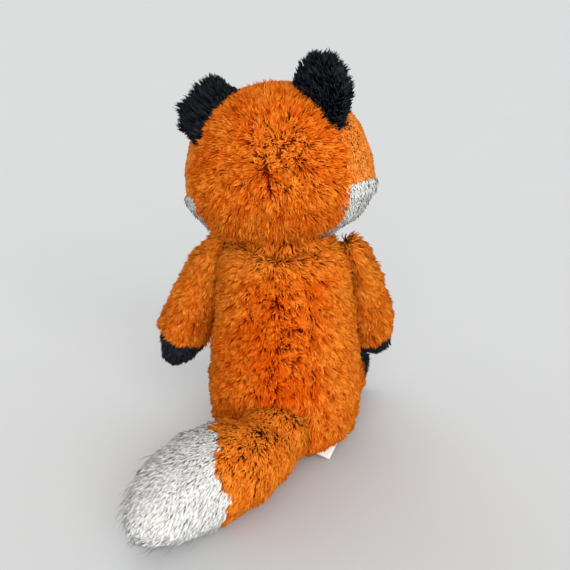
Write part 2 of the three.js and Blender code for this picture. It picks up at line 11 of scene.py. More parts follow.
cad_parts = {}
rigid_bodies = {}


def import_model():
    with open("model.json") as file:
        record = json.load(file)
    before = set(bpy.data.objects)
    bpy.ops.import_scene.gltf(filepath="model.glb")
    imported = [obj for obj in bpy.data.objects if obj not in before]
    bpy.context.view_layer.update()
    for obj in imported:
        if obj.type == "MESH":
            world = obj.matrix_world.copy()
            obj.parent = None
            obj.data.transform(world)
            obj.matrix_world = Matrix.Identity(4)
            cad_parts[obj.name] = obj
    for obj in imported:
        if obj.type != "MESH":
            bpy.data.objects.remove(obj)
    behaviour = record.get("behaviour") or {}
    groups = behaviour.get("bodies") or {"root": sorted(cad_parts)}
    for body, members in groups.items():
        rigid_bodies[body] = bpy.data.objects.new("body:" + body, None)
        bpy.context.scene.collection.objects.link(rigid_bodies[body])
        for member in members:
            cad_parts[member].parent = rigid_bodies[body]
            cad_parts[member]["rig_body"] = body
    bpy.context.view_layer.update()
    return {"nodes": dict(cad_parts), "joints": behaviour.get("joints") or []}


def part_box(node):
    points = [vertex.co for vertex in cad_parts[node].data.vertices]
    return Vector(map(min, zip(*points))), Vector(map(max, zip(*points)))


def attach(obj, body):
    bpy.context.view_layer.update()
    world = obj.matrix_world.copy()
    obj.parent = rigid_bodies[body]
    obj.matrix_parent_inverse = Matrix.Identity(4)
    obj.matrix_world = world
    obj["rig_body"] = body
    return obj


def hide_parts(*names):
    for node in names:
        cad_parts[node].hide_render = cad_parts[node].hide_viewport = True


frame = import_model()

# Camera: it stands behind the fox, a little to its right and above it, and looks down at the
# middle of its back, as the photograph does.
camera_place = Vector((-0.1044, 0.5923, 0.3659))
camera_aim = Vector((0, 0, 0.147))
camera_field = math.radians(40)
camera_sensor = 36
camera_data = bpy.data.cameras.new("camera")
camera_data.sensor_width = camera_sensor
camera_data.lens = camera_sensor / 2 / math.tan(camera_field / 2)
camera = bpy.data.objects.new("camera", camera_data)
camera.rotation_mode = "QUATERNION"
camera.location = camera_place
camera.rotation_quaternion = (camera_aim - camera_place).to_track_quat("-Z", "Y")
bpy.context.scene.collection.objects.link(camera)
bpy.context.scene.camera = camera
bpy.context.scene.view_settings.view_transform = "Standard"


# Room: a pale matt floor that keeps the fox's shadow, a pale surround of the same tone, and
# two broad soft lights, so far away that they light the floor evenly.
def linear(code):
    """A colour written as sRGB hex, as linear RGBA."""
    parts = [int(code[i : i + 2], 16) / 255 for i in (1, 3, 5)]
    return [c / 12.92 if c <= 0.04045 else ((c + 0.055) / 1.055) ** 2.4 for c in parts] + [1.0]


def add(tree, kind, settings=None, sockets=None):
    """Adds one node with its settings. A socket takes a value, or the output that feeds it."""
    node = tree.nodes.new(kind)
    for key, value in (settings or {}).items():
        setattr(node, key, value)
    for key, value in (sockets or {}).items():
        if isinstance(value, bpy.types.NodeSocket):
            tree.links.new(value, node.inputs[key])
        else:
            node.inputs[key].default_value = value
    return node


def started(name):
    """A new material with an empty node tree."""
    material = bpy.data.materials.new(name)
    material.use_nodes = True
    material.node_tree.nodes.clear()
    return material, material.node_tree


def placed(name, mesh, *materials):
    """A mesh as an object of the scene, at the origin."""
    piece = bpy.data.objects.new(name, mesh)
    for material in materials:
        mesh.materials.append(material)
    bpy.context.scene.collection.objects.link(piece)
    return piece


floor_size = 40
floor_material, tree = started("painted_studio_floor")
floor_grain = add(
    tree,
    "ShaderNodeTexNoise",
    {},
    {"Vector": add(tree, "ShaderNodeTexCoord").outputs["Object"], "Scale": 6, "Detail": 3},
)
floor_colour = add(
    tree,
    "ShaderNodeMix",
    {"data_type": "RGBA"},
    {0: floor_grain.outputs["Fac"], 6: linear("#d4d5d5"), 7: linear("#d7d8d8")},
)
floor_shader = add(
    tree,
    "ShaderNodeBsdfPrincipled",
    {},
    {"Base Color": floor_colour.outputs[2], "Roughness": 1.0, "Specular IOR Level": 0.0},
)
add(tree, "ShaderNodeOutputMaterial", {}, {"Surface": floor_shader.outputs[0]})
ground = bmesh.new()
bmesh.ops.create_grid(ground, x_segments=1, y_segments=1, size=floor_size)
floor_mesh = bpy.data.meshes.new("floor")
ground.to_mesh(floor_mesh)
floor = placed("floor", floor_mesh, floor_material)

world = bpy.data.worlds.new("room")
bpy.context.scene.world = world
world.use_nodes = True
tree = world.node_tree
tree.nodes.clear()
room_light = add(tree, "ShaderNodeBackground", {}, {"Color": linear("#ffffff"), "Strength": 0.62})
room_wall = add(tree, "ShaderNodeBackground", {}, {"Color": linear("#dbdddd"), "Strength": 1.0})
ray = add(tree, "ShaderNodeLightPath")
mirrored = add(
    tree,
    "ShaderNodeMath",
    {"operation": "MAXIMUM"},
    {0: ray.outputs["Is Glossy Ray"], 1: ray.outputs["Is Transmission Ray"]},
)
seen = add(
    tree,
    "ShaderNodeMath",
    {"operation": "MAXIMUM"},
    {0: ray.outputs["Is Camera Ray"], 1: mirrored.outputs[0]},
)
room = add(
    tree,
    "ShaderNodeMixShader",
    {},
    {0: seen.outputs[0], 1: room_light.outputs[0], 2: room_wall.outputs[0]},
)
add(tree, "ShaderNodeOutputWorld", {}, {"Surface": room.outputs[0]})

# Each light: the direction that it comes from, its strength, and how wide it looks in degrees.
lights = {
    "light_behind": ((-0.4, 1.0, 0.34), 2.8, 60),
    "light_before": ((0.5, -1.0, 0.6), 1.12, 70),
}
for name, (direction, strength, spread) in lights.items():
    light_data = bpy.data.lights.new(name, "SUN")
    light_data.energy = strength
    light_data.angle = math.radians(spread)
    light = bpy.data.objects.new(name, light_data)
    light.rotation_mode = "QUATERNION"
    light.rotation_quaternion = (-Vector(direction)).to_track_quat("-Z", "Y")
    bpy.context.scene.collection.objects.link(light)


# Back of the body: two panels of long-pile orange plush, sewn together down the middle of the
# back. The pile is combed down and outwards, parts along the seam and mats into small locks.
# There are too many tufts for bmesh, so one is made there and then copied as arrays.
weld = 1e-5


def form_of(nodes, grain, rounds, spacing=None):
    """A smooth closed form over these CAD nodes, remeshed once more to an even spacing."""
    joined = bmesh.new()
    for node in nodes:
        joined.from_mesh(frame["nodes"][node].data)
    bmesh.ops.remove_doubles(joined, verts=joined.verts, dist=weld)
    mesh = bpy.data.meshes.new("form")
    joined.to_mesh(mesh)
    work = placed("form", mesh)
    even = work.modifiers.new("even", "REMESH")
    even.voxel_size = grain
    relaxed = work.modifiers.new("relaxed", "SMOOTH")
    relaxed.iterations = rounds
    if spacing:
        rounded = work.modifiers.new("rounded", "SUBSURF")
        rounded.levels = rounded.render_levels = 1
        finer = work.modifiers.new("finer", "REMESH")
        finer.voxel_size = spacing
        again = work.modifiers.new("again", "SMOOTH")
        again.iterations = 2
    bpy.context.view_layer.update()
    depsgraph = bpy.context.evaluated_depsgraph_get()
    made = bpy.data.meshes.new_from_object(work.evaluated_get(depsgraph))
    bpy.data.objects.remove(work)
    return made


def numbers(items, name, width=3):
    """One property of many items as an array."""
    found = np.empty(len(items) * width, np.float32)
    items.foreach_get(name, found)
    return found.reshape(-1, width).astype(float) if width > 1 else found.astype(float)


def surfaces(nodes):
    """A search tree over these CAD nodes, and which node each of its faces belongs to."""
    corners, faces, whose = [], [], []
    for node in nodes:
        mesh = frame["nodes"][node].data
        start = len(corners)
        corners += [vert.co.copy() for vert in mesh.vertices]
        faces += [[start + i for i in face.vertices] for face in mesh.polygons]
        whose += [node] * len(mesh.polygons)
    return bvhtree.BVHTree.FromPolygons(corners, faces), whose


def unit(vectors):
    return vectors / np.maximum(np.linalg.norm(vectors, axis=1, keepdims=True), 1e-9)


def dots(a, b):
    return (a * b).sum(1, keepdims=True)


def laid(direction, outward):
    """The part of each direction that lies along the surface, at unit length."""
    return unit(direction - outward * dots(direction, outward))


# Without a seed of its own, noise_vector differs from run to run.
noise_seed = 3
noise.seed_set(noise_seed)


def drift(places, grain, seed):
    """A smooth random vector at each place, that changes over about a grain."""
    shift = Vector((seed * 7.31, seed * 3.77, seed * 5.13))
    return np.array([noise.noise_vector(Vector(place) / grain + shift) for place in places])


def parts_of(shape):
    """The points of a bmesh, and the sizes and corners of its faces."""
    shape.verts.index_update()
    points = np.array([vert.co[:] for vert in shape.verts])
    counts = np.array([len(face.verts) for face in shape.faces])
    corners = np.array([vert.index for face in shape.faces for vert in face.verts])
    return points, counts, corners


tuft_ring_share = 0.72  # how far up its length a tuft keeps its girth


def made_tuft():
    """One tuft: three sides, closed at the root, even up to its ring and then pointed. Its
    height is 1, so z is the share of its length."""
    tuft = bmesh.new()
    bmesh.ops.create_cone(
        tuft, cap_ends=True, cap_tris=False, segments=3, radius1=1, radius2=0, depth=1
    )
    bmesh.ops.remove_doubles(tuft, verts=tuft.verts, dist=weld)
    bmesh.ops.translate(tuft, verts=tuft.verts, vec=(0, 0, 0.5))
    cut = bmesh.ops.bisect_plane(
        tuft,
        geom=[*tuft.verts, *tuft.edges, *tuft.faces],
        plane_co=(0, 0, tuft_ring_share),
        plane_no=(0, 0, 1),
    )
    for vert in [item for item in cut["geom_cut"] if isinstance(item, bmesh.types.BMVert)]:
        swell = 1 / math.hypot(vert.co.x, vert.co.y)
        vert.co.x *= swell
        vert.co.y *= swell
    bmesh.ops.recalc_face_normals(tuft, faces=tuft.faces)
    return parts_of(tuft)


tuft_points, tuft_counts, tuft_corners = made_tuft()


class Pile:
    """Roots of the pile on a body's panels: place, outward direction, panel and rank of each. A
    panel that takes a share of them takes those of the lowest rank."""

    seed = 7
    jitter_share = 0.45  # of the spacing, by which a root may lie off its place
    hidden = 0.0004  # no pile grows this near another body
    stud_room = 0.0012  # nor this near a hard fitting

    def __init__(self, nodes, grain, rounds, spacing, studs=()):
        """studs are the hard fittings that stand in the cover, which the pile leaves free."""
        rng = np.random.default_rng(self.seed)
        self.spacing = spacing
        self.swirl = 3 + len(nodes)  # the seed of its drift
        self.skin = form_of([*nodes, *studs], grain, rounds)
        even = form_of([*nodes, *studs], grain, rounds, spacing)
        places = numbers(even.polygons, "center")
        outward = unit(numbers(even.polygons, "normal"))
        # The remesh has more faces where the surface is oblique to its grid.
        level = rng.uniform(size=len(places)) * np.abs(outward).sum(1) < 1
        places, outward = places[level], outward[level]
        places += laid(rng.normal(size=places.shape), outward) * spacing * (
            self.jitter_share * rng.uniform(size=(len(places), 1))
        )
        self.tree, self.whose = surfaces(nodes)
        body = frame["nodes"][nodes[0]]["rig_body"]
        others = [node for node, item in frame["nodes"].items() if item["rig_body"] != body]
        around, _ = surfaces(others)
        keep = np.array([around.find_nearest(place, self.hidden)[0] is None for place in places])
        if studs:
            fittings, _ = surfaces(studs)
            for i in np.flatnonzero(keep):
                spot, normal, _, distance = fittings.find_nearest(places[i])
                outside = (Vector(places[i]) - spot).dot(normal) > 0
                keep[i] = outside and distance > self.stud_room
        self.places, self.outward = places[keep], outward[keep]
        self.rank = rng.uniform(size=len(self.places))
        self.panel = np.array([self.panel_at(place) for place in self.places])

    def panel_at(self, place):
        return self.whose[self.tree.find_nearest(place)[2]]


backing_thickness = 0.0012
stray_reach = 2.0  # how many times as long as the pile its longest stray fibres are
stray_girth_share = 0.2
pressed = 0.002  # pile that would reach lower than this above the floor is pressed flat
swirls = ((0.03, 0.6), (0.014, 0.8), (0.006, 0.7))  # grain and strength of the pile's drift
wave_grain = 0.009  # over which its length and lean change
length_scatter = 0.12
bend_pull_share = 0.35  # how far a tuft's middle follows its tip into a lock
lock_tone_share = 0.6  # how much of its tone a tuft shares with its lock
upright, lying = 30, 65  # the lean between which pile is painted paler, a painted sheen


def no_strays(places):
    return np.zeros((len(places), 1))


def backing(pile, panels, under):
    """The cloth that the pile stands in, which lies under the CAD surface, as parts_of gives
    them."""
    cloth = bmesh.new()
    cloth.from_mesh(pile.skin)
    cloth.normal_update()
    spare = [face for face in cloth.faces if pile.panel_at(face.calc_center_median()) not in panels]
    sinks = under(np.array([vert.co[:] for vert in cloth.verts]))[:, 0]
    sunk = [vert.co - vert.normal * float(sink) for vert, sink in zip(cloth.verts, sinks)]
    for vert, place in zip(cloth.verts, sunk):
        vert.co = place
    bmesh.ops.delete(cloth, geom=spare, context="FACES")
    cloth.normal_update()
    wall = bmesh.ops.extrude_face_region(cloth, geom=cloth.faces[:])["geom"]
    for vert in wall:
        if isinstance(vert, bmesh.types.BMVert):
            vert.co -= vert.normal * backing_thickness
    bmesh.ops.recalc_face_normals(cloth, faces=cloth.faces)
    return parts_of(cloth)


def meshed(name, points, counts, corners):
    """A smooth mesh of these points, with faces of these sizes and corners."""
    mesh = bpy.data.meshes.new(name)
    mesh.vertices.add(len(points))
    mesh.vertices.foreach_set("co", points.astype(np.float32).ravel())
    mesh.loops.add(len(corners))
    mesh.loops.foreach_set("vertex_index", corners.astype(np.int32))
    mesh.polygons.add(len(counts))
    starts = np.concatenate([[0], np.cumsum(counts)[:-1]])
    mesh.polygons.foreach_set("loop_start", starts.astype(np.int32))
    mesh.polygons.foreach_set("use_smooth", np.ones(len(counts), bool))
    mesh.update()
    return mesh


def fur(name, pile, panels, comb, length, girth, depth, lean, material, **more):
    """A panel of plush: its backing cloth and its tufts, as one mesh.

    comb is the direction that the pile lies in, lean its angle from upright in degrees, depth
    how far the backing lies under the CAD surface. Length, depth and lean may differ by
    place, and are then functions of it. share thins the tufts out."""
    mess = more.get("mess", 0.5)
    locks = more.get("locks", ((0.0028, 0.3), (0.0080, 0.35)))
    seed = more.get("seed", 1)
    rng = np.random.default_rng(seed)
    chosen = np.isin(pile.panel, panels) & (pile.rank < more.get("share", 1))
    places, outward = pile.places[chosen], pile.outward[chosen]
    count = len(places)
    flow = comb(places, outward)
    swirl = pile.swirl
    for grain, strength in swirls:
        flow = flow + mess * strength * drift(places, grain, swirl + grain)
    flow = laid(flow + (0.1 + 0.12 * mess) * rng.normal(size=flow.shape), outward)
    waves = drift(places, wave_grain, swirl + 2)
    if callable(length):
        length = length(places)
    lean = lean(places) if callable(lean) else np.full((count, 1), lean)
    ruffle = more.get("ruffle", 0.3)
    under = depth if callable(depth) else lambda places: np.full((len(places), 1), depth)
    roots = places - outward * under(places)
    tiers = []
    for reach, pull in locks:
        step = max(1, round((reach / pile.spacing) ** 2))
        heads = rng.permutation(count)[::step]
        search = kdtree.KDTree(len(heads))
        for i, head in enumerate(heads):
            search.insert(roots[head], i)
        search.balance()
        tiers.append((heads[[search.find(root)[1] for root in roots]], reach, pull))
    lock = tiers[0][0]
    tall = length * (1 + ruffle * waves[:, :1] + length_scatter * rng.normal(size=(count, 1)))
    stray = rng.uniform(size=(count, 1)) < more.get("strays", no_strays)(places)
    tall = np.where(stray, tall * rng.uniform(1.5, stray_reach, (count, 1)), tall)
    scatter = (3 + 8 * mess) * rng.normal(size=(count, 1))
    tilt = np.radians(lean * (1 + ruffle * waves[:, 1:2]) + scatter)
    first = np.cos(0.5 * tilt) * outward + np.sin(0.5 * tilt) * flow
    last = np.cos(tilt) * outward + np.sin(tilt) * flow
    side = unit(np.cross(outward, flow))
    chance = rng.normal(size=(count, 1))
    curl = more.get("curl", 0.4) * (0.5 * chance + chance[lock])
    bends = roots + (first + side * curl) * tall * 0.5
    tips = bends + (last - side * curl) * tall * 0.5
    for mine, reach, pull in tiers:
        pulled = tips[mine] - tips
        pulled *= np.minimum(1, reach / np.maximum(np.linalg.norm(pulled, axis=1), 1e-9))[:, None]
        strength = pull * rng.uniform(0.6, 1.3, (count, 1))
        tips = tips + pulled * strength
        bends = bends + pulled * strength * bend_pull_share
    turn = rng.uniform(0, 2 * math.pi, (count, 1, 1))
    x, y, along = (tuft_points[None, :, i : i + 1] for i in range(3))
    across = x * np.cos(turn) - y * np.sin(turn)
    upwards = x * np.sin(turn) + y * np.cos(turn)
    root, bend, tip = (item[:, None, :] for item in (roots, bends, tips))
    middle = (1 - along) ** 2 * root + 2 * along * (1 - along) * bend + along**2 * tip
    heading = (1 - along) * (bend - root) + along * (tip - bend)
    heading = heading / np.maximum(np.linalg.norm(heading, axis=2, keepdims=True), 1e-9)
    above = np.cross(heading, np.broadcast_to(side[:, None, :], heading.shape))
    thick = girth * rng.uniform(0.75, 1.3, (count, 1)) * np.where(stray, stray_girth_share, 1)
    thick = thick[:, None, :]
    points = middle + thick * (across * side[:, None, :] + upwards * above)
    low = points[:, :, 2] < pressed
    points[low, 2] = pressed * np.exp(points[low, 2] / pressed - 1)
    tone = rng.uniform(0, 1, count)
    tone = (1 - lock_tone_share) * tone + lock_tone_share * tone[lock]

    cloth_points, cloth_counts, cloth_corners = backing(pile, panels, under)
    shift = len(cloth_points) + len(tuft_points) * np.arange(count)[:, None]
    corners = np.concatenate([cloth_corners, (tuft_corners[None, :] + shift).ravel()])
    counts = np.concatenate([cloth_counts, np.tile(tuft_counts, count)])
    everything = np.concatenate([cloth_points, points.reshape(-1, 3)])
    mesh = meshed(name, everything, counts, corners)
    # How flat each tuft lies, from 0 to 1: the material paints flat pile paler, as a painted sheen.
    sleek = np.clip((lean[:, 0] - upright) / (lying - upright), 0, 1)
    for label, cloth_value, values in (
        ("along", 0.0, np.tile(tuft_points[:, 2], count)),
        ("tone", 0.5, np.repeat(tone, len(tuft_points))),
        ("sleek", 0.0, np.repeat(sleek, len(tuft_points))),
    ):
        attribute = mesh.attributes.new(label, "FLOAT", "POINT")
        filled = np.concatenate([np.full(len(cloth_points), cloth_value), values])
        attribute.data.foreach_set("value", filled.astype(np.float32))
    facing = mesh.attributes.new("facing", "FLOAT_VECTOR", "POINT")
    cloth_normals = numbers(mesh.vertices, "normal")[: len(cloth_points)]
    filled = np.concatenate([cloth_normals, np.repeat(outward, len(tuft_points), axis=0)])
    facing.data.foreach_set("vector", filled.astype(np.float32).ravel())
    piece = placed(name, mesh, material)
    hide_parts(*panels)
    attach(piece, frame["nodes"][panels[0]]["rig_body"])


def plush(name, root, body, tip, pale, variety=(0.76, 1.2), sheen=0.02, softness=0.65):
    """Plush pile, of knitted polyester fibre, with painted shade and light: dark at the root, where
    the light is lost, and painted lighter at the tip, with fibres that differ from each other. Pile
    that lies flat is painted paler, a painted sheen. variety is how much darker or lighter a tuft may
    be.
    Light goes round and through the fine fibres, so a tuft is shaded for the most part, its
    softness, as the cloth under it would be."""
    material, tree = started(name)
    along = add(tree, "ShaderNodeAttribute", {"attribute_name": "along"})
    tone = add(tree, "ShaderNodeAttribute", {"attribute_name": "tone"})
    sleek = add(tree, "ShaderNodeAttribute", {"attribute_name": "sleek"})
    place = add(tree, "ShaderNodeTexCoord")
    # Paler patches of pile are some 20 mm wide.
    patches = add(
        tree,
        "ShaderNodeTexNoise",
        {},
        {"Vector": place.outputs["Object"], "Scale": 45, "Detail": 2},
    )
    # Painted shade and light: each tuft runs from the root colour, painted shade deep in the pile, to
    # the lighter tip colour, a painted highlight.
    lower = add(
        tree,
        "ShaderNodeMapRange",
        {"interpolation_type": "SMOOTHSTEP"},
        {0: along.outputs["Fac"], 1: 0.05, 2: 0.6},
    )
    upper = add(
        tree,
        "ShaderNodeMapRange",
        {"interpolation_type": "SMOOTHSTEP"},
        {0: along.outputs["Fac"], 1: 0.55, 2: 1.0},
    )
    base = add(
        tree,
        "ShaderNodeMix",
        {"data_type": "RGBA"},
        {0: lower.outputs[0], 6: linear(root), 7: linear(body)},
    )
    ends = add(
        tree,
        "ShaderNodeMix",
        {"data_type": "RGBA"},
        {0: upper.outputs[0], 6: base.outputs[2], 7: linear(tip)},
    )
    chance = add(tree, "ShaderNodeMath", {"operation": "MULTIPLY"}, {0: tone.outputs["Fac"]})
    tree.links.new(patches.outputs["Fac"], chance.inputs[1])
    # Painted sheen: pile that lies flat is mixed towards the pale colour, on top of the random paler
    # patches.
    patches_and_painted_sheen = add(
        tree,
        "ShaderNodeMath",
        {"operation": "MULTIPLY_ADD"},
        {0: sleek.outputs["Fac"], 1: 0.4, 2: chance.outputs[0]},
    )
    paleness_with_painted_sheen = add(
        tree,
        "ShaderNodeMapRange",
        {},
        {0: patches_and_painted_sheen.outputs[0], 1: 0.3, 2: 0.75, 3: 0.0, 4: 0.85},
    )
    colour = add(
        tree,
        "ShaderNodeMix",
        {"data_type": "RGBA"},
        {0: paleness_with_painted_sheen.outputs[0], 6: ends.outputs[2], 7: linear(pale)},
    )
    value = add(
        tree, "ShaderNodeMapRange", {}, {0: tone.outputs["Fac"], 3: variety[0], 4: variety[1]}
    )
    varied = add(
        tree,
        "ShaderNodeHueSaturation",
        {},
        {"Value": value.outputs[0], "Color": colour.outputs[2]},
    )
    # Fibres are about 0.05 mm thick, drawn some ten times as coarse to show at all.
    fibres = add(
        tree,
        "ShaderNodeTexNoise",
        {},
        {"Vector": place.outputs["Object"], "Scale": 1800, "Detail": 1},
    )
    facing = add(tree, "ShaderNodeAttribute", {"attribute_name": "facing"})
    soft = add(
        tree,
        "ShaderNodeMix",
        {"data_type": "VECTOR"},
        {
            0: softness,
            4: add(tree, "ShaderNodeNewGeometry").outputs["Normal"],
            5: facing.outputs["Vector"],
        },
    )
    turned = add(tree, "ShaderNodeVectorMath", {"operation": "NORMALIZE"}, {0: soft.outputs[1]})
    bump = add(
        tree,
        "ShaderNodeBump",
        {},
        {
            "Height": fibres.outputs["Fac"],
            "Strength": 0.15,
            "Distance": 0.0003,
            "Normal": turned.outputs[0],
        },
    )
    shader = add(
        tree,
        "ShaderNodeBsdfPrincipled",
        {},
        {
            "Base Color": varied.outputs[0],
            "Roughness": 0.9,
            "Specular IOR Level": 0.02,
            "Sheen Weight": sheen,
            "Sheen Roughness": 0.5,
            "Sheen Tint": linear(pale),
            "Normal": bump.outputs[0],
        },
    )
    add(tree, "ShaderNodeOutputMaterial", {}, {"Surface": shader.outputs[0]})
    return material


# root is painted shade deep in the pile and tip is painted light; pale is for the random paler patches
# and the painted sheen of flat pile.
orange_plush = plush(
    "orange_long_pile_plush", root="#c63400", body="#da4700", tip="#ec6808", pale="#f9942e"
)
down = np.array([0, 0, -1.0])
back_parting = 0.0025
half_back = 0.06
shoulder_foot = 0.155
shoulder_rise = 0.02
matted_width = 0.016
spacing = 0.00106
torso_panels = ["torso_back_left", "torso_back_right", "torso_belly", "torso_base"]
torso = Pile([*torso_panels, "torso_stuffing", "pellet_pouch"], grain=0.005, rounds=6, spacing=spacing)


def parting(places):
    """How far each place is from the parting of the back, which wanders down the seam."""
    height = places[:, 2:3]
    wander = 0.006 * drift(places, 0.02, 61)[:, :1] + 0.003 * np.sin(height / 0.031)
    return places[:, :1] - back_parting - wander


def matting(aside):
    """How matted the pile is at this distance from the parting, from 0 to 1."""
    return np.exp(-((aside / matted_width) ** 2))


def on_flank(places):
    """How near each place is to a flank, from 0 to 1."""
    return np.clip(np.abs(places[:, :1] - back_parting) / half_back, 0, 1)


def on_shoulder(places):
    """How far up the shoulders each place is, from 0 to 1."""
    return np.clip((places[:, 2:3] - shoulder_foot) / shoulder_rise, 0, 1)


hinges = {joint["name"]: np.array(joint["pos_m"]) for joint in frame["joints"]}
shoulders = [hinges["arm_left_swing"], hinges["arm_right_swing"]]
arm_nearness = 0.034


def by_arm(places):
    """How near each place is to a shoulder seam, from 0 to 1."""
    away = [np.linalg.norm(places - shoulder, axis=1, keepdims=True) for shoulder in shoulders]
    return np.exp(-((np.minimum(*away) / arm_nearness) ** 2))


tail_root = hinges["tail_swing"]
tail_seam_radius = 0.026
tail_seam_reach = 0.012


def over_tail_seam(places):
    """Towards the tail's root, for pile that covers the seam round it."""
    inwards = tail_root - places
    away = np.linalg.norm(inwards, axis=1, keepdims=True)
    near = np.exp(-(((away - tail_seam_radius) / tail_seam_reach) ** 2))
    return 1.6 * near * unit(inwards)


ridge_aside = -0.013  # the ruffled ridge's middle, to the right of the parting
ridge_width = 0.007
ridge_middle = 0.115
ridge_reach = 0.045


def comb_back(places, outward):
    """Down the back and a little away from the parting, where it is matted, with a ruffled
    ridge on its right. Round the tail it turns in over the seam, and beside each arm it turns
    out over the sleeve."""
    aside = parting(places)
    parted = 0.5 * np.tanh(aside / 0.010) * np.exp(-np.abs(aside) / 0.018)
    height = places[:, 2:3]
    across = np.exp(-(((aside - ridge_aside) / ridge_width) ** 2))
    ridge = across * np.exp(-(((height - ridge_middle) / ridge_reach) ** 4))
    swept = np.concatenate([-2.2 * ridge, 0 * ridge, 1.2 * ridge * np.sin(height / 0.004)], axis=1)
    tangle = 1.4 * matting(aside) * drift(places, 0.004, 63)
    sideways = np.sign(places[:, :1]) * np.array([1.0, 0, 0])
    combed = down + parted * np.array([1.3, 0, 0]) + swept + over_tail_seam(places) + tangle
    return combed + 1.3 * by_arm(places) * sideways


def back_lean(places):
    """Pile stands up near the middle of the back, and lies smooth on the flanks and shoulders."""
    smooth = np.maximum(24 * on_flank(places) ** 1.2, 26 * on_shoulder(places))
    return 38 + smooth + 6 * by_arm(places)


def back_depth(places):
    """The backing is nearer where the pile is matted and on the shoulders, so that little of
    it shows dark."""
    return 0.0054 - 0.002 * np.maximum(matting(parting(places)), on_shoulder(places))


def back_length(places):
    """Longest round the neck and shoulders, and short where the seat is rubbed by the ground."""
    ground = np.clip(places[:, 2:3] / 0.03, 0, 1)
    fuller = 0.002 * on_shoulder(places) + 0.003 * by_arm(places)
    return (0.0104 - 0.001 * on_flank(places) + fuller) * (0.5 + 0.5 * ground)


for side, seed in (("left", 11), ("right", 23)):
    fur(
        f"back_panel_{side}",
        torso,
        [f"torso_back_{side}"],
        comb_back,
        length=back_length,
        girth=0.0006,
        depth=back_depth,
        lean=back_lean,
        material=orange_plush,
        mess=1.1,
        seed=seed,
        slot="orange_long_pile",
    )

# Belly and seat: a white belly panel of shorter pile, sewn in along the flanks, and a round
# orange panel under the seat, whose pile is pressed flat. White fibre shows nearly no shade.
white_plush = plush(
    "white_long_pile_plush", root="#f4f3ec", body="#f8f7f0", tip="#faf9f3", pale="#fcfbf7",
    variety=(0.95, 1.04), softness=0.9,
)


def comb_down(places, outward):
    return down + outward * 0


def comb_outwards(places, outward):
    """Away from the middle of the body, as pile that is sat on."""
    return places * np.array([1.0, 1.0, 0]) / 0.03


fur(
    "belly_panel",
    torso,
    ["torso_belly"],
    comb_down,
    length=0.0095,
    girth=0.0006,
    depth=0.0018,
    lean=77,
    share=0.7,
    mess=0.25,
    ruffle=0.15,
    locks=((0.003, 0.15), (0.008, 0.2)),
    material=white_plush,
    seed=31,
    slot="white_pile",
)
fur(
    "seat_panel",
    torso,
    ["torso_base"],
    comb_outwards,
    length=0.005,
    girth=0.0005,
    depth=0.003,
    lean=82,
    material=orange_plush,
    seed=37,
    slot="orange_long_pile",
)

# Neck: a round stuffed roll of orange plush, sewn in between body and head, which turns in
# both. Its pile hides the two seams.
orange_short_plush = plush(
    "orange_short_pile_plush", root="#e2640c", body="#ee7414", tip="#f68422", pale="#fb9c46"
)
neck_spacing = 0.0015
neck = Pile(["neck_roll"], grain=0.004, rounds=4, spacing=neck_spacing)
# The neck roll takes the paler short-pile plush of its slot; that paleness also stands as painted
# light against the shade of the head above it.
fur(
    "neck_roll_plush",
    neck,
    ["neck_roll"],
    comb_down,
    length=0.0125,
    girth=0.0007,
    depth=0.003,
    lean=34,
    material=orange_short_plush,
    seed=41,
    slot="orange_short_pile",
)

# Back of the head: two panels of the long-pile orange plush. The pile grows out from a whorl
# high on the back of the head, and parts over the seam below it.
whorl = np.array([-0.0007, 0.0488, 0.2662])
whorl_reach = 0.022
crease_top = np.array([0.0045, 0.0545, 0.2528])
crease_foot = np.array([-0.0019, 0.0563, 0.2274])
head_panels = [
    "head_back_left",
    "head_back_right",
    "head_face",
    "cheek_left",
    "cheek_right",
    "nose_bridge",
    "muzzle",
]
head = Pile(
    [*head_panels, "head_stuffing"],
    grain=0.003,
    rounds=5,
    spacing=spacing,
    studs=("nose", "eye_left", "eye_right"),
)


def from_whorl(places):
    """How far each place is from the whorl."""
    return np.linalg.norm(places - whorl, axis=1, keepdims=True)


def tangling(places):
    """How tangled the pile is, from 0 to 1 at the whorl."""
    return np.exp(-((from_whorl(places) / whorl_reach) ** 2))


def comb_whorl(places, outward):
    """Out from the whorl, where it is tangled, then down, and away from the crease."""
    tangled = tangling(places)
    run = crease_foot - crease_top
    share = np.clip((places - crease_top) @ run / (run @ run), 0, 1)[:, None]
    aside = places - (crease_top + share * run)
    near = np.exp(-np.linalg.norm(aside, axis=1, keepdims=True) / 0.006)
    tangle = 1.8 * tangled * drift(places, 0.003, 5)
    away = unit(places - whorl) * (1 - 0.8 * tangled)
    return away + tangle + 0.35 * down + 1.6 * near * unit(aside)


def head_lean(places):
    """Pile lies a little flatter at the whorl than round it."""
    return 56 - 4 * np.clip(from_whorl(places) / 0.03, 0, 1)


def head_depth(places):
    """The backing is nearer under the tangled whorl."""
    return 0.0048 - 0.002 * tangling(places)


def head_length(places):
    """Longest at the nape, which it hides."""
    nape = np.clip((0.225 - places[:, 2:3]) / 0.02, 0, 1)
    return 0.0102 + 0.003 * nape


for side, seed in (("left", 51), ("right", 67)):
    fur(
        f"head_back_panel_{side}",
        head,
        [f"head_back_{side}"],
        comb_whorl,
        length=head_length,
        girth=0.0006,
        depth=head_depth,
        lean=head_lean,
        material=orange_plush,
        mess=0.9,
        locks=((0.0028, 0.25), (0.008, 0.2)),
        seed=seed,
        slot="orange_long_pile",
    )

# Face: short orange pile above, white cheeks below, and a white muzzle with an orange bridge,
# all sewn edge to edge. The pile is combed back from the nose.
nose_low, nose_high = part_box("nose")
nose_tip = np.array((nose_low + nose_high) / 2) + np.array([0, -0.01, 0])


def comb_face(places, outward):
    return unit(places - nose_tip) + 0.7 * down


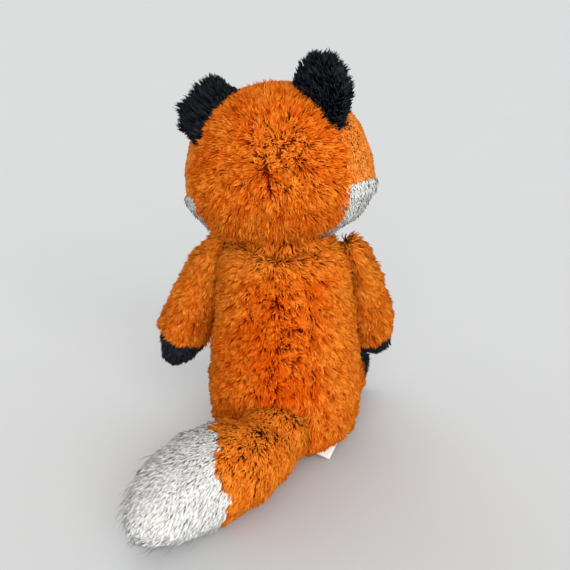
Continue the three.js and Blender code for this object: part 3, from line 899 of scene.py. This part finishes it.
eye_places = [sum(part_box(f"eye_{side}"), Vector()) / 2 for side in ("left", "right")]


def cheek_length(places):
    """Short behind, where the back of the head hangs over it."""
    behind = np.clip((places[:, 1:2] - 0.012) / 0.02, 0, 1)
    return 0.0082 - 0.0045 * behind


def face_depth(places):
    """The backing rises round the eyes, so that they sit in the pile."""
    near = [np.linalg.norm(places - np.array(eye), axis=1, keepdims=True) for eye in eye_places]
    rise = np.exp(-((np.minimum(*near) / 0.016) ** 2))
    return 0.0008 - 0.0004 * rise


orange_face = (orange_short_plush, "orange_short_pile")
white_face = (white_plush, "white_pile")
for name, node, (material, slot), length, depth, lean, seed in (
    ("face_panel", "head_face", orange_face, 0.0045, face_depth, 74, 71),
    ("cheek_panel_left", "cheek_left", white_face, cheek_length, 0.0008, 81, 73),
    ("cheek_panel_right", "cheek_right", white_face, cheek_length, 0.0008, 81, 79),
    ("nose_bridge_panel", "nose_bridge", orange_face, 0.0050, 0.0008, 58, 83),
    ("muzzle_panel", "muzzle", white_face, 0.0050, 0.0006, 58, 89),
):
    fur(
        name,
        head,
        [node],
        comb_face,
        length=length,
        girth=0.00064,
        depth=depth,
        lean=lean,
        material=material,
        share=0.9,
        mess=0.15,
        ruffle=0.08,
        curl=0.1,
        locks=((0.0025, 0.1),),
        seed=seed,
        slot=slot,
    )

# Ears: black long-pile plush behind, which stands out past the edge in stiff locks, and a
# short white lining in front. Each is sewn into the head's seam. Black fibre keeps a sheen.
black_plush = plush(
    "black_long_pile_plush", root="#060709", body="#0f1114", tip="#202429", pale="#363b42",
    sheen=0.15,
)
ear_spacing = 0.0011
for side, seed in (("left", 97), ("right", 101)):
    ear_nodes = [f"ear_{side}_cover", f"ear_{side}_lining"]
    ear = Pile(ear_nodes, grain=0.0022, rounds=3, spacing=ear_spacing)
    ear_root = hinges[f"ear_{side}_fold"]
    ear_axis = unit((ear.places.mean(0) - ear_root)[None, :])

    def comb_ear(places, outward):
        """Up the ear, and out towards its edge."""
        return ear_axis + 0.7 * unit(places - ear_root)

    def ear_length(places):
        """Longest where it stands out past the ear's top."""
        share = dots(unit(places - ear_root), ear_axis)
        return 0.0078 + 0.0045 * np.clip(share, 0, 1) ** 3

    fur(
        f"ear_plush_{side}",
        ear,
        [f"ear_{side}_cover"],
        comb_ear,
        length=ear_length,
        girth=0.00043,
        depth=0.0036,
        lean=44,
        material=black_plush,
        mess=0.35,
        ruffle=0.45,
        locks=((0.0024, 0.75), (0.006, 0.2)),
        seed=seed,
        slot="black_long_pile",
    )
    fur(
        f"ear_lining_{side}",
        ear,
        [f"ear_{side}_lining"],
        comb_ear,
        length=0.0075,
        girth=0.0005,
        depth=0.0002,
        lean=60,
        material=white_plush,
        mess=0.2,
        locks=((0.003, 0.3),),
        seed=seed + 1,
        slot="white_pile",
    )

# Arms: stuffed sleeves of the orange long-pile plush, sewn to the shoulders, with black hand
# paws sewn on at the wrist. Their pile runs down from the shoulder.
for side, seed in (("left", 107), ("right", 113)):
    arm_nodes = [f"arm_{side}_cover", f"paw_{side}_cover", f"arm_{side}_stuffing"]
    arm = Pile(arm_nodes, grain=0.004, rounds=6, spacing=spacing)
    shoulder = hinges[f"arm_{side}_swing"]
    sleeve_centre = shoulder * np.array([0.25, 1, 1]) + np.array([0, 0, 0.02])

    def comb_arm(places, outward):
        return unit(places - sleeve_centre) + 0.6 * down

    def sleeve_length(places):
        """Fuller at the shoulder, where it hides the seam."""
        away = np.linalg.norm(places - shoulder, axis=1, keepdims=True)
        return 0.0105 + 0.002 * np.exp(-((away / 0.04) ** 2))

    def sleeve_lean(places):
        """Flat at the shoulder, fluffier towards the paw."""
        away = np.linalg.norm(places - shoulder, axis=1, keepdims=True)
        return 57 + 19 * np.exp(-((away / 0.034) ** 2))

    for name, node, depth, material, slot in (
        (f"sleeve_{side}", f"arm_{side}_cover", 0.0036, orange_plush, "orange_long_pile"),
        (f"hand_paw_{side}", f"paw_{side}_cover", 0.0046, black_plush, "black_long_pile"),
    ):
        fur(
            name,
            arm,
            [node],
            comb_arm,
            length=sleeve_length,
            girth=0.00054,
            depth=depth,
            lean=sleeve_lean,
            material=material,
            mess=0.5,
            seed=seed,
            slot=slot,
        )

# Legs: stuffed shafts of the orange long-pile plush, sewn to the hips, with upright black
# feet. Their pile runs out from the hip.
leg_spacing = 0.0013
for side, seed in (("left", 127), ("right", 131)):
    leg_nodes = [f"leg_{side}_cover", f"foot_{side}_cover", f"leg_{side}_stuffing"]
    leg = Pile(leg_nodes, grain=0.004, rounds=6, spacing=leg_spacing)
    hip = hinges[f"leg_{side}_swing"]

    def comb_leg(places, outward):
        return unit(places - hip) + 0.2 * down

    for name, node, material, slot in (
        (f"leg_plush_{side}", f"leg_{side}_cover", orange_plush, "orange_long_pile"),
        (f"foot_plush_{side}", f"foot_{side}_cover", black_plush, "black_long_pile"),
    ):
        fur(
            name,
            leg,
            [node],
            comb_leg,
            length=0.0105,
            girth=0.0006,
            depth=0.0058,
            lean=52,
            material=material,
            mess=0.4,
            seed=seed,
            slot=slot,
        )

# Tail: a fat stuffed brush, sewn to the back of the seat, orange to the middle, with a white
# tip whose longest fibres stray. Its pile lies along it.
tail_nodes = ["tail_cover", "tail_tip", "tail_stuffing"]
tail = Pile(tail_nodes, grain=0.005, rounds=6, spacing=spacing)
tail_comb_centre = tail_root + np.array([-0.012, -0.03, 0.005])
tail_end = np.array(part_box("tail_tip")[1]) * np.array([1, 0.88, 0.3])


def comb_tail(places, outward):
    return unit(places - tail_comb_centre) + 0.35 * down


def tail_strays(places):
    """A few long fibres stray from the last part of the tip."""
    away = np.linalg.norm(places - tail_end, axis=1, keepdims=True)
    sideways = np.clip((0.163 - places[:, 1:2]) / 0.01, 0, 1)
    return 0.06 * np.exp(-((away / 0.045) ** 2)) * sideways


# The seam between orange and white is ragged, as the pile lies over it.
tail_overlap = 0.004
ragged = tail_overlap * (1 + 3.5 * drift(tail.places, 0.008, 71)[:, :1])
reached = tail.places + ragged * comb_tail(tail.places, tail.outward)
tail.panel = np.array([tail.panel_at(place) for place in reached])
for name, node, material, slot, lean, depth, mess, strays, seed in (
    ("tail_brush", "tail_cover", orange_plush, "orange_long_pile", 74, 0.0014, 0.45, no_strays, 137),
    ("tail_tip_brush", "tail_tip", white_plush, "white_pile", 83, 0.0006, 0.15, tail_strays, 139),
):
    fur(
        name,
        tail,
        [node],
        comb_tail,
        length=0.0118,
        girth=0.00068,
        depth=depth,
        lean=lean,
        material=material,
        mess=mess,
        ruffle=mess / 2,
        curl=0.7 * mess,
        locks=((0.0028, mess / 2), (0.008, mess / 2)),
        strays=strays,
        seed=seed,
        slot=slot,
    )

# Care label: a blank white satin ribbon, folded double and sewn into the seam at the seat. It
# droops to the fox's right, with its rear edge lower, as the CAD label does.
label_root = Vector((-0.022, 0.015, 0.014))
label_width = 0.018
label_length = 0.025
label_gap = 0.0005
label_bow = 0.0012
label_heading = 165  # degrees round from the fox's left
label_droop = 12
label_stand = 120  # at 90 degrees it would stand straight on its edge
ribbon_thickness = 0.00028
label_turn = (
    Matrix.Translation(label_root)
    @ Matrix.Rotation(math.radians(label_heading), 4, "Z")
    @ Matrix.Rotation(math.radians(label_droop), 4, "Y")
    @ Matrix.Rotation(math.radians(label_stand), 4, "X")
)
# Woven satin: smooth and white, with a soft gloss and painted shade of creases some 6 mm apart.
satin, tree = started("white_satin_ribbon")
label_map = add(tree, "ShaderNodeUVMap", {"uv_map": "ribbon"})
# Satin threads are about 0.1 mm apart, drawn six times as coarse to show at all.
threads = add(
    tree,
    "ShaderNodeTexWave",
    {"wave_type": "BANDS", "bands_direction": "X"},
    {"Vector": label_map.outputs[0], "Scale": 520, "Distortion": 0.4},
)
crease_shade = add(
    tree,
    "ShaderNodeTexNoise",
    {},
    {"Vector": label_map.outputs[0], "Scale": 160, "Detail": 2},
)
# Painted shade: the ribbon is darker along its creases.
ribbon_colour = add(
    tree,
    "ShaderNodeMix",
    {"data_type": "RGBA"},
    {0: crease_shade.outputs["Fac"], 6: linear("#e9e6e2"), 7: linear("#f4f2ef")},
)
ribbon_relief = add(
    tree,
    "ShaderNodeBump",
    {},
    {"Height": threads.outputs["Fac"], "Strength": 0.25, "Distance": 0.0001},
)
ribbon_shader = add(
    tree,
    "ShaderNodeBsdfPrincipled",
    {},
    {
        "Base Color": ribbon_colour.outputs[2],
        "Roughness": 0.42,
        "Sheen Weight": 0.2,
        "Normal": ribbon_relief.outputs[0],
    },
)
add(tree, "ShaderNodeOutputMaterial", {}, {"Surface": ribbon_shader.outputs[0]})


def smooth_mesh(name, shape):
    """A bmesh as a mesh, with smooth faces."""
    mesh = bpy.data.meshes.new(name)
    shape.to_mesh(mesh)
    for face in mesh.polygons:
        face.use_smooth = True
    return mesh


ribbon = bmesh.new()
bmesh.ops.create_grid(ribbon, x_segments=40, y_segments=12, size=0.5)
ribbon_map = ribbon.loops.layers.uv.new("ribbon")
for face in ribbon.faces:
    for loop in face.loops:
        loop[ribbon_map].uv = (
            loop.vert.co.y * label_width,
            (loop.vert.co.x + 0.5) * 2 * label_length,
        )
for vert in ribbon.verts:
    share, aside = 2 * abs(vert.co.x), vert.co.y * label_width
    run = label_length * (1 - share)
    open_by = label_gap * min(1, share * 8) ** 0.5 * math.copysign(1, vert.co.x)
    bow = label_bow * math.sin(math.pi * run / label_length) + 1.6e-3 * (run / label_length) ** 2
    curl = 0.9e-3 * (2 * vert.co.y) ** 2 * run / label_length
    vert.co = (run, open_by + bow - curl, aside)
bmesh.ops.transform(ribbon, matrix=label_turn, verts=ribbon.verts)
label = placed("care_label_ribbon", smooth_mesh("care_label_ribbon", ribbon), satin)
walls = label.modifiers.new("thickness", "SOLIDIFY")
walls.thickness = ribbon_thickness
walls.offset = 0
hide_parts("care_label")
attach(label, "torso")

# Filling: loose polyester fibre inside every stuffed form. The seat also holds a canvas pouch
# of pellets, which gives the fox its weight.
filling_shrink = 0.0012
filling_grain = 0.0035
filling_rounds = 4
# Carded polyester: matt, white and cloudy, in wisps of about 4 mm.
fibre_material, tree = started("polyester_fibre_filling")
inside = add(tree, "ShaderNodeTexCoord")
tangle = add(
    tree,
    "ShaderNodeTexNoise",
    {},
    {"Vector": inside.outputs["Object"], "Scale": 260, "Detail": 6, "Distortion": 1.4},
)
fibre_colour = add(
    tree,
    "ShaderNodeMix",
    {"data_type": "RGBA"},
    {0: tangle.outputs["Fac"], 6: linear("#d8d5cd"), 7: linear("#f3f1ec")},
)
fibre_relief = add(
    tree,
    "ShaderNodeBump",
    {},
    {"Height": tangle.outputs["Fac"], "Strength": 0.8, "Distance": 0.002},
)
fibre_shader = add(
    tree,
    "ShaderNodeBsdfPrincipled",
    {},
    {
        "Base Color": fibre_colour.outputs[2],
        "Roughness": 0.95,
        "Sheen Weight": 0.5,
        "Normal": fibre_relief.outputs[0],
    },
)
add(tree, "ShaderNodeOutputMaterial", {}, {"Surface": fibre_shader.outputs[0]})

# Unbleached cotton canvas: matt, with a plain weave whose threads are 0.8 mm apart.
canvas_material, tree = started("cotton_canvas")
inside = add(tree, "ShaderNodeTexCoord")
warp = add(
    tree,
    "ShaderNodeTexWave",
    {"wave_type": "BANDS", "bands_direction": "X"},
    {"Vector": inside.outputs["Object"], "Scale": 390, "Distortion": 0.3},
)
weft = add(
    tree,
    "ShaderNodeTexWave",
    {"wave_type": "BANDS", "bands_direction": "Z"},
    {"Vector": inside.outputs["Object"], "Scale": 390, "Distortion": 0.3},
)
weave = add(
    tree,
    "ShaderNodeMath",
    {"operation": "MULTIPLY"},
    {0: warp.outputs["Fac"], 1: weft.outputs["Fac"]},
)
canvas_colour = add(
    tree,
    "ShaderNodeMix",
    {"data_type": "RGBA"},
    {0: weave.outputs[0], 6: linear("#bdb29a"), 7: linear("#dcd3bf")},
)
canvas_relief = add(
    tree,
    "ShaderNodeBump",
    {},
    {"Height": weave.outputs[0], "Strength": 0.6, "Distance": 0.0003},
)
canvas_shader = add(
    tree,
    "ShaderNodeBsdfPrincipled",
    {},
    {
        "Base Color": canvas_colour.outputs[2],
        "Roughness": 0.9,
        "Normal": canvas_relief.outputs[0],
    },
)
add(tree, "ShaderNodeOutputMaterial", {}, {"Surface": canvas_shader.outputs[0]})


def stuffed(name, node, material):
    """A soft inner piece: the CAD solid's form, rounded and drawn in a little."""
    soft = bmesh.new()
    soft.from_mesh(form_of([node], filling_grain, filling_rounds))
    soft.normal_update()
    inwards = {vert: -vert.normal for vert in soft.verts}
    for vert in soft.verts:
        vert.co += inwards[vert] * filling_shrink
    piece = placed(name, smooth_mesh(name, soft), material)
    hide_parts(node)
    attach(piece, frame["nodes"][node]["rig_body"])


for part in ("torso", "head", "tail", "arm_left", "arm_right", "leg_left", "leg_right"):
    stuffed(f"{part}_filling", f"{part}_stuffing", fibre_material)
stuffed("pellet_pouch_canvas", "pellet_pouch", canvas_material)

# Eyes and nose: moulded in glossy black plastic, each with a shank that passes through the
# cover into a clear lock washer.
# Polished ABS: almost black, with sharp highlights that waver a little every 2 mm or so.
moulded, tree = started("moulded_gloss_abs")
place = add(tree, "ShaderNodeTexCoord")
ripple = add(
    tree,
    "ShaderNodeTexNoise",
    {},
    {"Vector": place.outputs["Object"], "Scale": 420, "Detail": 2},
)
moulded_colour = add(
    tree,
    "ShaderNodeMix",
    {"data_type": "RGBA"},
    {0: ripple.outputs["Fac"], 6: linear("#030304"), 7: linear("#070708")},
)
moulded_relief = add(
    tree,
    "ShaderNodeBump",
    {},
    {"Height": ripple.outputs["Fac"], "Strength": 0.05, "Distance": 0.0003},
)
moulded_shader = add(
    tree,
    "ShaderNodeBsdfPrincipled",
    {},
    {
        "Base Color": moulded_colour.outputs[2],
        "Roughness": 0.08,
        "Specular IOR Level": 0.3,
        "Normal": moulded_relief.outputs[0],
    },
)
add(tree, "ShaderNodeOutputMaterial", {}, {"Surface": moulded_shader.outputs[0]})

# Moulded polypropylene: milky and half matt, with a haze in patches of some 3 mm.
clear_plastic, tree = started("clear_polypropylene")
place = add(tree, "ShaderNodeTexCoord")
haze = add(
    tree,
    "ShaderNodeTexNoise",
    {},
    {"Vector": place.outputs["Object"], "Scale": 300, "Detail": 2},
)
haze_colour = add(
    tree,
    "ShaderNodeMix",
    {"data_type": "RGBA"},
    {0: haze.outputs["Fac"], 6: linear("#d2d4d4"), 7: linear("#e2e4e4")},
)
clear_shader = add(
    tree,
    "ShaderNodeBsdfPrincipled",
    {},
    {"Base Color": haze_colour.outputs[2], "Roughness": 0.35},
)
add(tree, "ShaderNodeOutputMaterial", {}, {"Surface": clear_shader.outputs[0]})
for node in ("eye_left_washer", "eye_right_washer", "nose_washer"):
    washer = frame["nodes"][node]
    washer.data.materials.clear()
    washer.data.materials.append(clear_plastic)

# A button's outline: radius and height above the cover, from the shank's end to its crown.
eye_outline = (
    (0.0, -0.014),
    (0.0018, -0.014),
    (0.0023, -0.0134),
    (0.0023, -0.0016),
    (0.0032, -0.0011),
    (0.0066, -0.0011),
    (0.0073, -0.0007),
    (0.0075, 0.0),
    (0.00735, 0.0011),
    (0.0067, 0.0024),
    (0.0055, 0.0036),
    (0.0039, 0.0044),
    (0.0020, 0.0049),
    (0.0, 0.005),
)
eye_sides = 32
for side in ("left", "right"):
    node = f"eye_{side}"
    corners = numbers(frame["nodes"][node].data.vertices, "co")
    middle = corners.mean(0)
    _, _, axes = np.linalg.svd(corners - middle)
    heights = (corners - middle) @ axes[0]
    radii = np.linalg.norm(corners - middle - heights[:, None] * axes[0], axis=1)
    wide = heights[radii > 0.9 * radii.max()].mean()
    outward = axes[0] * math.copysign(1, wide)
    crown = middle + outward * ((corners - middle) @ outward).max()
    button = bmesh.new()
    last = None
    for radius, height in eye_outline:
        vert = button.verts.new((radius, 0, height))
        if last:
            button.edges.new((last, vert))
        last = vert
    bmesh.ops.spin(
        button,
        geom=[*button.verts, *button.edges],
        cent=(0, 0, 0),
        axis=(0, 0, 1),
        angle=2 * math.pi,
        steps=eye_sides,
        use_merge=True,
    )
    bmesh.ops.remove_doubles(button, verts=button.verts, dist=weld)
    bmesh.ops.recalc_face_normals(button, faces=button.faces)
    stand = Vector(outward).to_track_quat("Z", "Y").to_matrix().to_4x4()
    seat = Matrix.Translation(Vector(crown) - Vector(outward) * eye_outline[-1][1])
    bmesh.ops.transform(button, matrix=seat @ stand, verts=button.verts)
    eye = placed(f"{node}_button", smooth_mesh(f"{node}_button", button), moulded)
    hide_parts(node)
    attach(eye, "head")

nose_grain = 0.0012
nose_rounds = 6
snout = bmesh.new()
snout.from_mesh(form_of(["nose"], nose_grain, nose_rounds))
nose = placed("nose_button", smooth_mesh("nose_button", snout), moulded)
softened = nose.modifiers.new("softened", "SUBSURF")
softened.levels = softened.render_levels = 1
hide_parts("nose")
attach(nose, "head")
